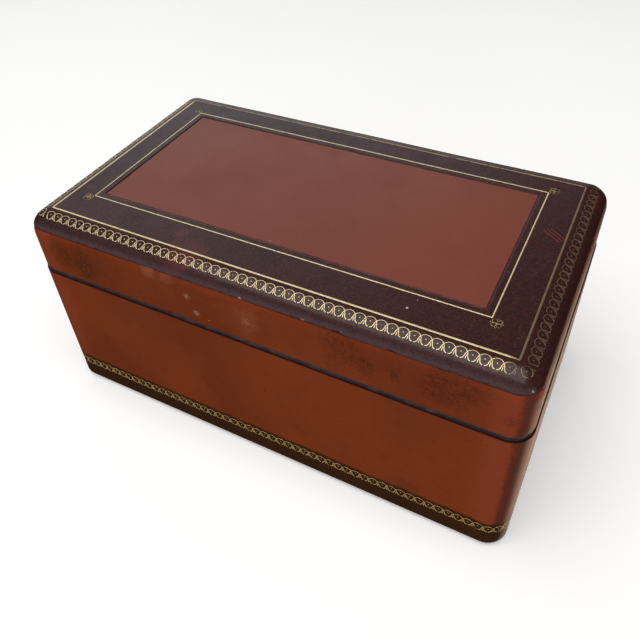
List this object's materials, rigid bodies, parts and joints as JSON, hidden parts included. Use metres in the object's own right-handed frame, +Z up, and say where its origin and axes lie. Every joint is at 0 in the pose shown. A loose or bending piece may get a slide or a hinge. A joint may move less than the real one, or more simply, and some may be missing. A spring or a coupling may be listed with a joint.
{
  "type": "jewellery case",
  "caption": "Rectangular leather-covered wooden jewellery case with a hinged lid, an inlaid lid panel with gilt tooling, brass stays and a lift-out velvet tray.",
  "frame": {"origin": "on the table, under the middle of the case's box with its hinge barrels", "axes": "+X along the case from left to right, -Y towards the front, +Y towards the hinges, +Z up"},
  "size_m": [0.254, 0.1492, 0.1164],
  "materials": {
    "wood": "sawn carcass board",
    "side_leather": "cognac calf, waxed and worn",
    "border_leather": "dark brown mottled calf, satin",
    "panel_leather": "smooth red-brown calf",
    "rim_leather": "burnished dark leather",
    "pull_leather": "soft cognac leather",
    "velvet": "short-pile wine velvet over card",
    "cushion_velvet": "padded wine velvet",
    "felt": "wool felt",
    "brass": "aged satin brass"
  },
  "bodies": {
    "case_base": {"base_front_board": "wood", "base_back_board": "wood", "base_left_board": "wood", "base_right_board": "wood", "base_bottom_board": "wood", "base_side_leather": "side_leather", "base_rim_leather": "rim_leather", "base_foot_felt": "felt", "base_front_lining": "velvet", "base_back_lining": "velvet", "base_left_lining": "velvet", "base_right_lining": "velvet", "base_floor_pad": "velvet", "base_long_divider": "velvet", "base_left_cross_divider": "velvet", "base_right_cross_divider": "velvet", "tray_ledge_left": "velvet", "tray_ledge_right": "velvet", "hinge_left_base_leaf": "brass", "hinge_right_base_leaf": "brass", "hinge_left_pin": "brass", "hinge_right_pin": "brass", "stay_left_base_plate": "brass", "stay_right_base_plate": "brass", "base_screws": "brass"},
    "lid": {"lid_front_board": "wood", "lid_back_board": "wood", "lid_left_board": "wood", "lid_right_board": "wood", "lid_top_board": "wood", "lid_side_leather": "side_leather", "lid_border_leather": "border_leather", "lid_centre_panel": "panel_leather", "lid_rim_leather": "rim_leather", "lid_front_lining": "velvet", "lid_back_lining": "velvet", "lid_left_lining": "velvet", "lid_right_lining": "velvet", "lid_cushion": "cushion_velvet", "hinge_left_lid_leaf": "brass", "hinge_right_lid_leaf": "brass", "stay_left_lid_plate": "brass", "stay_right_lid_plate": "brass", "lid_screws": "brass"},
    "tray": {"tray_front_wall": "velvet", "tray_back_wall": "velvet", "tray_left_wall": "velvet", "tray_right_wall": "velvet", "tray_floor": "velvet", "tray_ring_divider": "velvet", "tray_long_divider": "velvet", "tray_cross_divider": "velvet", "tray_back_pad": "velvet", "tray_front_pads": "velvet", "tray_ring_rolls": "cushion_velvet", "tray_left_pull": "pull_leather", "tray_right_pull": "pull_leather"},
    "stay_left": {"stay_left_arc": "brass"},
    "stay_right": {"stay_right_arc": "brass"}
  },
  "joints": [
    {"name": "lid_hinge", "type": "hinge", "parent": "case_base", "child": "lid", "pos_m": [0, 0.0727, 0.0844], "axis": [-1, 0, 0], "range_deg": [0, 95]},
    {"name": "stay_left_swing", "type": "hinge", "parent": "case_base", "child": "stay_left", "pos_m": [0, 0.0727, 0.0844], "axis": [-1, 0, 0], "range_deg": [0, 47.5]},
    {"name": "stay_right_swing", "type": "hinge", "parent": "case_base", "child": "stay_right", "pos_m": [0, 0.0727, 0.0844], "axis": [-1, 0, 0], "range_deg": [0, 47.5]},
    {"name": "tray_lift", "type": "slide", "parent": "case_base", "child": "tray", "axis": [0, 0, 1], "range_m": [0, 0.032]}
  ],
  "couplings": [
    {"joint": "stay_left_swing", "follows": "lid_hinge", "ratio": 0.5},
    {"joint": "stay_right_swing", "follows": "lid_hinge", "ratio": 0.5},
    {"joint": "tray_lift", "follows": "lid_hinge", "m_per_rad": 0.019}
  ]
}
